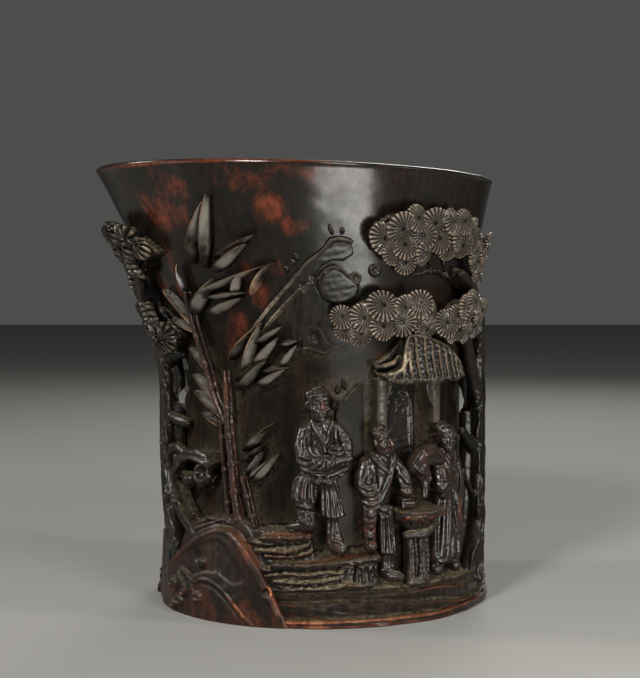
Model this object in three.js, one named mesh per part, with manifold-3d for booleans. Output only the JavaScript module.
// A carved hardwood brush pot: a wall whose flare leans to one side, with a floor let into the foot,
// and a deep relief of scholars under pines, bamboo, rocks and a tiled pavilion round it.
// Millimetres, +Z up. The origin is the middle of the foot, and the front of the relief faces -Y.
// A place on the wall is given as [degrees round from the front towards +X, height].
import * as THREE from "three";
import { mergeVertices } from "three/addons/utils/BufferGeometryUtils.js";
import Module from "manifold-3d";

const wasm = await Module();
wasm.setup();

// Driving dimensions of the pot
const potHeight = 165;
const rimRadius = 78;
const waistRadius = 54.5;
const waistTop = 86;
const flarePower = 1.35;
const wallThickness = 6.5;
const lipThickness = 5.5;
const flareLean = 11;
const rimDrop = 2.2;
const floorThickness = 9;
const floorClearance = 0.3;
const floorLedgeWidth = 3;

// Driving dimensions of the carving, whose places are drawn on a pot of the drawn height
const drawnHeight = 165;
const carvingGap = 0.3;
const groundDepth = 11;
const groundHeight = 13;
const groundChamfer = 0.8;
const middleTop = 26;
const upperTop = 34;
const leafWidth = 5;
const leafOuter = 5.2;
const leafStep = 1.2;
const figureOff = 5.4;
const headSizes = [3.7, 5.4, 4];
const trunkOff = 7.4;
const ridgeOuter = 1.4;
const roofFoot = 87.5;

// What follows from them
const groundRadius = waistRadius + groundDepth;
const stand = groundHeight + carvingGap;
const onMiddle = middleTop + carvingGap;
const onUpper = upperTop + carvingGap;

// How finely round shapes are cut
const roundSegments = 72;
const flareSteps = 6;
const lumpSides = 10;
const drumSides = 20;

const degrees = Math.PI / 180;
const up = new THREE.Vector3(0, 0, 1);

// Wood colours
const darkWood = { color: 0x1c1512, roughness: 0.42, metalness: 0 };
const wornWood = { color: 0x4a1d10, roughness: 0.38, metalness: 0 };
const dustyWood = { color: 0x2c2218, roughness: 0.6, metalness: 0 };
const plugWood = { color: 0x2a1a12, roughness: 0.55, metalness: 0 };

// How far the flare has opened at a height: 0 up to the waist's top and 1 at the rim
function flare(z) {
  return Math.max(0, (z - waistTop) / (potHeight - waistTop)) ** flarePower;
}

// The wall's outside radius where nothing is carved
function wallRadius(z) {
  return waistRadius + (rimRadius - waistRadius) * flare(z);
}

// Where a height of the drawing lies on a pot of this height
function drawn(z) {
  return groundHeight + ((z - groundHeight) * (potHeight - groundHeight)) / (drawnHeight - groundHeight);
}

// Solids

function solidOf(geometry) {
  const plain = geometry.clone();
  plain.deleteAttribute("normal");
  plain.deleteAttribute("uv");
  const merged = mergeVertices(plain, 1e-4);
  const triVerts = new Uint32Array(merged.index.array);
  const make = () =>
    new wasm.Manifold(
      new wasm.Mesh({ numProp: 3, vertProperties: merged.attributes.position.array, triVerts }),
    );
  const made = make();
  if (made.volume() > 0) return made;
  for (let i = 0; i < triVerts.length; i += 3) {
    [triVerts[i + 1], triVerts[i + 2]] = [triVerts[i + 2], triVerts[i + 1]];
  }
  return make();
}

function geometryOf(solid) {
  const mesh = solid.getMesh();
  const points = new Float32Array(mesh.numVert * 3);
  for (let i = 0; i < mesh.numVert; i++) {
    points.set(mesh.vertProperties.subarray(i * mesh.numProp, i * mesh.numProp + 3), i * 3);
  }
  const geometry = new THREE.BufferGeometry();
  geometry.setAttribute("position", new THREE.BufferAttribute(points, 3));
  geometry.setIndex(new THREE.BufferAttribute(mesh.triVerts, 1));
  return geometry;
}

function joined(solids) {
  return solids.reduce((sum, solid) => sum.add(solid));
}

// The solid carried sideways with the flare, whose middle moves towards -X as it opens
function leaned(solid) {
  const geometry = geometryOf(solid);
  const points = geometry.attributes.position;
  for (let i = 0; i < points.count; i++) {
    points.setX(i, points.getX(i) - flareLean * flare(points.getZ(i)));
  }
  return solidOf(geometry);
}

// A solid turned round the pot's axis from a closed loop of [radius, height]
function turned(loop) {
  const points = [...loop, loop[0]].map(([r, z]) => new THREE.Vector2(r, z));
  return solidOf(new THREE.LatheGeometry(points, roundSegments).rotateX(Math.PI / 2));
}

// Heights at which a surface that follows the wall is bent
function wallHeights(low, high) {
  const marks = [];
  for (let i = 0; i < flareSteps; i++) {
    marks.push(waistTop + ((potHeight - waistTop) * i) / flareSteps);
  }
  return [low, ...marks.filter((z) => z > low + 0.5 && z < high - 0.5), high];
}

// A shell that follows the wall, from one distance off it to another
function shell(inner, outer, low, high) {
  const heights = wallHeights(low, high);
  const outside = heights.map((z) => [wallRadius(z) + outer, z]);
  const inside = heights.map((z) => [wallRadius(z) + inner, z]).reverse();
  return turned([...outside, ...inside]);
}

// A solid of revolution that closes on the axis, from an open run of [radius, height]
function turnedCore(run) {
  const points = run.map(([r, z]) => new THREE.Vector2(r, z));
  return solidOf(new THREE.LatheGeometry(points, roundSegments).rotateX(Math.PI / 2));
}

// All the round space inside the wall's outer face and a gap off it, which the carving keeps clear of
function wallSpace() {
  const heights = wallHeights(-2, potHeight + rimDrop + 2);
  const outside = heights.map((z) => [wallRadius(z) + carvingGap, z]);
  return turnedCore([[0, heights[0]], ...outside, [0, heights.at(-1)]]);
}

// Axes at a place round the wall: along the wall, up, and outwards
function axesAt(angle) {
  const a = angle * degrees;
  const along = new THREE.Vector3(Math.cos(a), Math.sin(a), 0);
  const outwards = new THREE.Vector3(Math.sin(a), -Math.cos(a), 0);
  return new THREE.Matrix4().makeBasis(along, up, outwards);
}

// The outline's points on a flat plane square to the middle angle
function flatOutline(outline, middle) {
  return outline.map(([angle, z]) => {
    const height = drawn(z);
    const radius = Math.max(groundRadius, wallRadius(height));
    return new THREE.Vector2(radius * Math.sin((angle - middle) * degrees), height);
  });
}

// The outline moved outwards by a margin, so that a neighbour can be cut clear of it
function grown(points, margin) {
  if (!margin) return points;
  const turn = THREE.ShapeUtils.area(points) > 0 ? 1 : -1;
  return points.map((point, i) => {
    const before = points.at(i - 1);
    const after = points[(i + 1) % points.length];
    const first = new THREE.Vector2().subVectors(point, before).normalize();
    const second = new THREE.Vector2().subVectors(after, point).normalize();
    const outward = new THREE.Vector2(first.y + second.y, -first.x - second.x);
    const cosHalf = Math.max(0.5, outward.length() / 2);
    return outward.normalize().multiplyScalar((turn * margin) / cosHalf).add(point);
  });
}

// A carved mass: an outline on the wall, standing from one distance off it to another
function carved(outline, inner, outer, margin) {
  const angles = outline.map(([angle]) => angle);
  const middle = (Math.min(...angles) + Math.max(...angles)) / 2;
  const flat = flatOutline(outline, middle);
  const nearest = waistRadius / 2;
  const farthest = rimRadius * 1.5;
  const shape = new THREE.Shape(grown(flat, margin));
  const prism = new THREE.ExtrudeGeometry(shape, { depth: farthest - nearest, bevelEnabled: false });
  prism.translate(0, 0, nearest).applyMatrix4(axesAt(middle));
  const heights = flat.map(({ y }) => y);
  const low = Math.min(...heights) - margin - 1;
  const high = Math.max(...heights) + margin + 1;
  const layer = shell(inner - margin, outer + margin, low, high);
  return layer.intersect(solidOf(prism));
}

// A rounded lump at a place, with half sizes along the wall, up and outwards
function lump([angle, z], distance, sizes, margin) {
  const [along, high, out] = sizes.map((size) => size + margin);
  const height = drawn(z);
  const ball = new THREE.SphereGeometry(1, lumpSides, Math.round(lumpSides * 0.7));
  ball.scale(along, high, out);
  ball.translate(0, height, wallRadius(height) + distance);
  return solidOf(ball.applyMatrix4(axesAt(angle)));
}

// A round limb that follows places on the wall, each [degrees, height, distance off, radius]
function limb(stations, margin, sides = 8) {
  const rings = stations.map(([angle, z, distance, radius]) => {
    const height = drawn(z);
    const centre = new THREE.Vector3(0, height, wallRadius(height) + distance);
    return { centre: centre.applyMatrix4(axesAt(angle)), radius: radius + margin };
  });
  const positions = [];
  const faces = [];
  const last = rings.length - 1;
  rings.forEach(({ centre, radius }, i) => {
    const ahead = rings[Math.min(i + 1, last)].centre.clone();
    const way = ahead.sub(rings[Math.max(i - 1, 0)].centre).normalize();
    const out = new THREE.Vector3(centre.x, centre.y, 0).normalize();
    const side = new THREE.Vector3().crossVectors(way, out).normalize();
    const front = new THREE.Vector3().crossVectors(side, way).normalize();
    const end = i === 0 ? -margin : i === last ? margin : 0;
    for (let k = 0; k < sides; k++) {
      const turn = (k / sides) * 2 * Math.PI;
      const point = centre.clone().addScaledVector(way, end);
      point.addScaledVector(side, radius * Math.cos(turn));
      point.addScaledVector(front, radius * Math.sin(turn));
      positions.push(...point.toArray());
    }
  });
  for (let i = 0; i < last; i++) {
    for (let k = 0; k < sides; k++) {
      const [a, b] = [i * sides + k, i * sides + ((k + 1) % sides)];
      faces.push(a, b, b + sides, a, b + sides, a + sides);
    }
  }
  for (let k = 1; k < sides - 1; k++) {
    faces.push(0, k + 1, k);
    faces.push(last * sides, last * sides + k, last * sides + k + 1);
  }
  const geometry = new THREE.BufferGeometry();
  geometry.setAttribute("position", new THREE.Float32BufferAttribute(positions, 3));
  geometry.setIndex(faces);
  return solidOf(geometry);
}

// A drum that stands upright off the wall, such as a table's foot
function drum([angle, low], high, distance, lowRadius, highRadius, margin) {
  const height = drawn(high) - drawn(low) + 2 * margin;
  const cylinder = new THREE.CylinderGeometry(highRadius + margin, lowRadius + margin, height, drumSides);
  cylinder.rotateX(Math.PI / 2);
  cylinder.translate(0, 0, (drawn(low) + drawn(high)) / 2);
  const out = wallRadius(drawn(low)) + distance;
  const a = angle * degrees;
  cylinder.translate(out * Math.sin(a), -out * Math.cos(a), 0);
  return solidOf(cylinder);
}

// A bamboo leaf: a pointed blade from its stem end to its tip
function leafOutline([angle, z], length, width, lean) {
  const stations = [[0, 0.25], [0.4, 1], [1, 0], [0.4, -1], [0, -0.25]];
  const turn = lean * degrees;
  return stations.map(([share, side]) => {
    const along = share * length;
    const across = (side * width) / 2;
    const right = along * Math.sin(turn) + across * Math.cos(turn);
    const rise = along * Math.cos(turn) - across * Math.sin(turn);
    return [angle + right / (groundRadius * degrees), z + rise];
  });
}

// A spray of leaves, each [joint, length, lean from upright in degrees], in two layers
function leafSpray(leaves, margin) {
  const spray = leaves.map(([joint, length, lean], i) => {
    const outer = leafOuter + (i % 2) * leafStep;
    return carved(leafOutline(joint, length, leafWidth, lean), carvingGap, outer, margin);
  });
  return joined(spray);
}

// A figure's body, legs or arm, with each station's distance counted from the figures' own
function body(stations, margin, sides = 8) {
  const placed = stations.map(([angle, z, out, radius]) => [angle, z, figureOff + out, radius]);
  return limb(placed, margin, sides);
}

function head(place, margin) {
  return lump(place, figureOff + 0.8, headSizes, margin);
}

// The servant with the teapot, one foot on the upper ledge
function attendant(m) {
  return joined([
    body([[-1.5, 44, 0, 4.6], [-1.5, 56, 0, 5.2], [-1.5, 70, 0, 4.8], [-1.5, 75, 0.3, 2.2]], m, 10),
    body([[-6.5, onUpper, 1, 2.8], [-6.5, 44, 1, 3.2], [-4.5, 54, 0.5, 3.4]], m),
    body([[4, onMiddle, 0.6, 2.4], [3.5, 38, 0.6, 2.6], [2, 52, 0.4, 4]], m),
    body([[-6, 69, 0, 2.4], [-7.5, 61, 1, 2.6], [-1, 58.5, 2.4, 2.2], [6, 59.5, 2.6, 1.7]], m, 6),
    body([[4, 69, 0, 2.3], [6.5, 63, 1, 2], [7.5, 60, 2.2, 1.6]], m, 6),
    lump([4.2, 62.8], figureOff + 2.6, [2.6, 2.4, 2.2], m),
    head([-1.5, 79.8], m),
  ]);
}

// The scholar at the near side of the table, one foot on the middle ledge
function scholar(m) {
  return joined([
    body([[20.5, 38, 0, 3.6], [20.5, 48, 0, 4.8], [20.5, 57, 0, 4.6], [20.5, 62, 0.3, 2]], m, 10),
    body([[16, onMiddle, 1.2, 2.5], [16, 40, 1.4, 2.7], [16.5, 50, 0.8, 3]], m),
    body([[24, stand, 1, 2.8], [23, 30, 0.8, 2.8], [22, 42, 0.4, 3.4]], m),
    body([[15.5, 57, 0, 2.4], [14.5, 50, 1, 2.6], [16, 45, 2, 2.2]], m, 6),
    body([[25.5, 58, 0, 2.2], [28, 52, 0.6, 2.3], [29, 46.5, 1.6, 1.9]], m, 6),
    head([20.5, 66.5], m),
  ]);
}

// The bearded elder at the far side of the table, with one arm out over it
function elder(m) {
  return joined([
    body([[47.5, 34, 0, 5], [48, 46, 0, 5.2], [48.5, 57, 0, 4.8], [47.8, 61.5, 0.3, 2.2]], m, 10),
    body([[43, stand, 0.6, 3.3], [43.5, 26, 0.6, 3.2], [45, 38, 0.4, 3.6]], m),
    body([[51, stand, 0.6, 3.3], [51, 26, 0.6, 3.2], [50, 38, 0.4, 3.6]], m),
    body([[45, 58, -1, 3.4], [38, 59, -1, 3.8], [35.5, 53, 0, 2.8], [35, 45, 0.6, 1.5]], m, 8),
    body([[52.5, 57, 0, 2.6], [53.5, 46, 0, 2.4], [53, 32, 0.4, 1.8]], m, 6),
    head([47.5, 66.3], m),
  ]);
}

// A ring of ground under the whole scene, which the pot stands on
function groundRing(margin) {
  const inner = waistRadius + carvingGap - margin;
  const outer = groundRadius + margin;
  const top = groundHeight + margin;
  return turned([
    [inner, -margin], [outer - groundChamfer, -margin], [outer, groundChamfer], [outer, top], [inner, top],
  ]);
}

const slab = (outline, outer) => (margin) => carved(outline, carvingGap, outer, margin);
const trunk = (stations) => (margin) => limb(stations, margin);
const spray = (leaves) => (margin) => leafSpray(leaves, margin);

// Every carved mass, front first. A mass is cut clear of those above it in the list.
const carving = [
  ["ground_ring", dustyWood, groundRing],
  ["ledge_middle", dustyWood, slab(
    [[-24, stand], [-8, stand], [8, 15], [19, 21], [19, middleTop], [-20, middleTop], [-25, 21]], 10.2)],
  ["ledge_upper", dustyWood, slab([[-24, onMiddle], [-3, onMiddle], [-4, upperTop], [-26, upperTop]], 9)],
  ["boulder_left", wornWood, slab(
    [[-72, stand], [-20, stand], [-24, 21], [-28, 28], [-33, 33.5], [-38, 36], [-46, 34], [-56, 28],
      [-66, 20]],
    10.8)],
  ["figure_attendant", darkWood, attendant],
  ["figure_scholar", darkWood, scholar],
  ["figure_elder", darkWood, elder],
  ["table_top", darkWood, (m) => drum([35.5, 38.2], 41.5, 4.6, 7.4, 8.6, m)],
  ["table_drum", darkWood, (m) => drum([35, 29.2], 37.9, 4.4, 4.8, 7, m)],
  ["table_foot", darkWood, (m) => drum([33.5, stand], 28.9, 4.2, 4.4, 4.2, m)],
  ["hut_roof", darkWood, slab(
    [[19, 91], [21.5, roofFoot], [52, roofFoot], [53.5, 91], [51, 98], [48, 103], [34, 104], [29, 97],
      [24, 92.5]],
    9.6)],
  ["hut_post_left", darkWood, trunk([
    [21.3, 73, 3.6, 1.9], [21.3, 80, 3.6, 1.8], [21.3, roofFoot - carvingGap, 3.6, 1.8]])],
  ["hut_post_right", darkWood, trunk([
    [46, 73.5, 3.4, 1.8], [46, 80, 3.4, 1.7], [46, roofFoot - carvingGap, 3.4, 1.7]])],
  ["hut_door", darkWood, slab(
    [[24.5, 58], [37, 58], [37, roofFoot - carvingGap], [24.5, roofFoot - carvingGap]], 1.2)],
  ["rock_face", darkWood, slab([[7, 66], [15, 62], [15, 87], [12.5, 86.5], [5, 77]], 1.6)],
  ["pine_trunk_right", darkWood, trunk([
    [70, stand, 7, 4.2], [76, 35, trunkOff, 3.2], [78, 60, trunkOff, 2.8], [76, 84, trunkOff, 3],
    [74, 105, 6.4, 2.4], [66, 118, 5, 2.1], [56, 126, 3.4, 1.7]])],
  ["pine_canopy_right_top", darkWood, slab(
    [[17.5, 138], [19, 143], [24, 147.5], [31, 149], [40, 149], [49, 147], [57, 142], [65, 136], [73, 131],
      [72, 124], [64, 127], [56, 133], [48, 134], [40, 131.5], [33, 126.5], [27, 127], [24, 132],
      [19, 133]], 6.6)],
  ["pine_canopy_right_middle", darkWood, slab(
    [[5.5, 109], [9, 113], [16, 118], [24, 119.5], [31, 118.5], [37, 118], [40, 112], [40, 105], [36, 103],
      [31, 106], [25, 103], [17, 101.5], [9, 102]], 8.6)],
  ["pine_canopy_right_low", darkWood, slab(
    [[41, 107], [44, 112.5], [50, 113], [55, 117], [63, 118], [71, 115], [72, 106], [64, 101], [56, 101],
      [48, 101], [42, 103]], 9.4)],
  ["pine_canopy_right_edge", darkWood, slab(
    [[75, 132], [79, 138], [87, 141], [96, 138], [100, 131], [95, 124], [86, 122], [78, 125]], 5)],
  ["pine_trunk_left", darkWood, trunk([
    [-64, 20, 6.6, 3.6], [-71, 45, trunkOff, 3.2], [-75, 70, trunkOff, 2.9], [-76, 92, trunkOff, 2.8],
    [-78, 112, 6, 2.6], [-74, 124, 5, 2.2], [-68, 131, 4, 1.8]])],
  ["pine_root_left", darkWood, trunk([[-52, 30, 5.6, 2], [-60, 38, 6.2, 2], [-68.5, 48, 6.6, 2]])],
  ["pine_canopy_left_top", darkWood, slab(
    [[-88, 131], [-89, 138], [-82, 143], [-66, 144], [-58, 141], [-51, 136], [-51, 132], [-60, 130],
      [-68, 126], [-80, 126]], 8)],
  ["pine_canopy_left_low", darkWood, slab(
    [[-86, 103], [-85, 110], [-76, 115], [-64, 112], [-57, 107], [-56, 102], [-63, 97], [-76, 96]], 9.4)],
  ["pine_canopy_left_edge", darkWood, slab(
    [[-100, 112], [-99, 121], [-92, 126], [-84, 124], [-80, 117], [-84, 111], [-92, 108]], 8)],
  ["fungus_left", darkWood, slab([[-60, 51], [-52, 47.5], [-45, 49], [-42, 55], [-44, 60], [-54, 59]], 7.4)],
  ["bamboo_stalk_front", wornWood, trunk([
    [-27, 34.3, 6, 1.8], [-30, 50, 6, 1.6], [-33, 68, 5.8, 1.5], [-32.5, 82, 5.4, 1.4]])],
  ["bamboo_stalk_fork", wornWood, trunk([[-23.6, 35, 4, 1.1], [-25.4, 42, 4, 1.1], [-26.8, 49, 4.2, 1]])],
  ["bamboo_stalk_rear", wornWood, trunk([[-36.5, 33, 3, 1.3], [-38.5, 55, 3, 1.1], [-40, 74, 3, 1]])],
  ["bamboo_stalk_upper", wornWood, trunk([
    [-34, 84.5, 5, 1.4], [-41, 90, 5, 1.3], [-44, 100, 4.6, 1.2], [-47, 110, 4.2, 1.1], [-45, 119, 3.6, 1]])],
  ["bamboo_leaves_top", darkWood, spray([
    [[-33, 128], 27, 22], [[-37, 131], 25, 30], [[-29, 131], 20, 62], [[-30, 127], 18, 57]])],
  ["bamboo_leaves_high", darkWood, spray([
    [[-45, 112], 19, 52], [[-39, 119.5], 37, 72], [[-38, 111.5], 18, 66], [[-25, 118], 9, 12],
      [[-20, 119], 11, 34]])],
  ["bamboo_leaves_spike", darkWood, spray([[[-47.5, 119], 10, 12]])],
  ["bamboo_leaves_left", darkWood, spray([[[-50, 107], 17.5, -42], [[-50, 104], 14, -68]])],
  ["bamboo_leaves_mid_left", darkWood, spray([[[-44, 87], 17.5, -48]])],
  ["bamboo_leaves_low_left", darkWood, spray([[[-37, 71.5], 24, -64], [[-42, 70.5], 12, -72]])],
  ["bamboo_leaves_mid_right", darkWood, spray([
    [[-30, 84], 18, 47], [[-34, 87], 20, 63], [[-29, 90], 19, 28], [[-33, 95], 20, 53], [[-24, 86], 14, 66],
    [[-24, 94], 13, 47], [[-22, 101], 12, 62], [[-15, 92.5], 11, 42], [[-22, 91], 12, 84]])],
  ["bamboo_leaves_low_right", darkWood, spray([
    [[-29, 61], 17.5, 52], [[-29, 56], 14, 48], [[-28, 53], 13, 36], [[-27, 52], 14, 62],
      [[-26, 50.5], 14, 74]])],
  ["mountain_ridge", darkWood, slab(
    [[-11, 113], [-5, 119], [0, 127.5], [6, 135.5], [15, 135.5], [15, 138.5], [5, 138.5], [-3.5, 128],
      [-11, 118]],
    ridgeOuter)],
  ["distant_hill", darkWood, slab(
    [[2.5, 118.5], [12, 117], [14, 122], [10, 127], [7, 129], [4.5, 127], [2.5, 123.5]], ridgeOuter)],
  ["cliff_back", darkWood, slab(
    [[108, stand], [158, stand], [156, 40], [160, 62], [148, 78], [132, 84], [118, 70], [110, 44]], 8)],
  ["pine_trunk_back", darkWood, trunk([
    [170, stand, 6.4, 4.4], [167, 40, trunkOff, 3.2], [171, 66, trunkOff, 2.8], [166, 90, trunkOff, 2.6],
    [160, 108, 6, 2.2], [156, 120, 4.5, 1.8]])],
  ["pine_canopy_back_top", darkWood, slab(
    [[130, 132], [134, 138], [145, 142], [158, 143], [170, 140], [176, 133], [170, 126], [156, 124],
      [140, 125]], 6.6)],
  ["pine_canopy_back_middle", darkWood, slab(
    [[168, 107], [172, 113], [182, 116], [194, 114], [201, 108], [197, 101], [184, 99], [172, 101]], 8.6)],
  ["pine_canopy_back_low", darkWood, slab(
    [[114, 103], [119, 109], [130, 112], [141, 110], [146, 104], [141, 98], [130, 96], [119, 98]], 9)],
  ["rock_back", darkWood, slab(
    [[192, stand], [236, stand], [238, 34], [230, 58], [216, 72], [204, 60], [196, 36]], 7)],
  ["bamboo_stalk_back", wornWood, trunk([
    [246, stand, 5.4, 1.8], [248, 45, 5, 1.5], [244, 75, 4.4, 1.4], [246, 104, 3.8, 1.2]])],
  ["bamboo_leaves_back_top", darkWood, spray([
    [[248, 106], 24, 10], [[243, 104], 21, -38], [[251, 103], 20, 44]])],
  ["bamboo_leaves_back_low", darkWood, spray([
    [[241, 78], 20, -54], [[248, 77], 18, 50], [[242, 70], 15, -76]])],
];

const pot = new THREE.Group();

function place(name, look, solid) {
  const largest = solid.decompose().reduce((a, b) => (b.volume() > a.volume() ? b : a));
  const mesh = new THREE.Mesh(geometryOf(largest), new THREE.MeshStandardMaterial(look));
  mesh.name = name;
  pot.add(mesh);
}

// The cavity's radius, which follows the outside at the wall's thickness and thins to the lip
function cavityRadius(z) {
  return wallRadius(z) - wallThickness + (wallThickness - lipThickness) * flare(z);
}

// The wall: open above, with a ledge near the foot that the floor is let in against
function wall() {
  const top = potHeight + rimDrop + 1;
  const outside = wallHeights(0, top).map((z) => [wallRadius(z), z]);
  const inside = wallHeights(floorThickness, top).map((z) => [cavityRadius(z), z]);
  const rebateRadius = cavityRadius(0) + floorLedgeWidth;
  const loop = [...outside, ...inside.reverse(), [rebateRadius, floorThickness], [rebateRadius, 0]];
  const wasteHeight = 20;
  const waste = new THREE.BoxGeometry(4 * rimRadius, 4 * rimRadius, wasteHeight);
  waste.translate(0, 0, wasteHeight / 2);
  waste.rotateY(Math.atan(rimDrop / rimRadius)).translate(-flareLean, 0, potHeight);
  return leaned(turned(loop)).subtract(solidOf(waste));
}

// The floor: a disc let into the foot from below, up against the wall's ledge and flush with the foot
function floorDisc() {
  const radius = cavityRadius(0) + floorLedgeWidth - floorClearance;
  const top = floorThickness - floorClearance;
  return turnedCore([[0, 0], [radius, 0], [radius, top], [0, top]]);
}

place("pot_wall", darkWood, wall());
place("floor_disc", plugWood, floorDisc());

let taken = leaned(wallSpace());
for (const [name, look, mass] of carving) {
  place(name, look, leaned(mass(0)).subtract(taken));
  taken = taken.add(leaned(mass(carvingGap)));
}

export default pot;
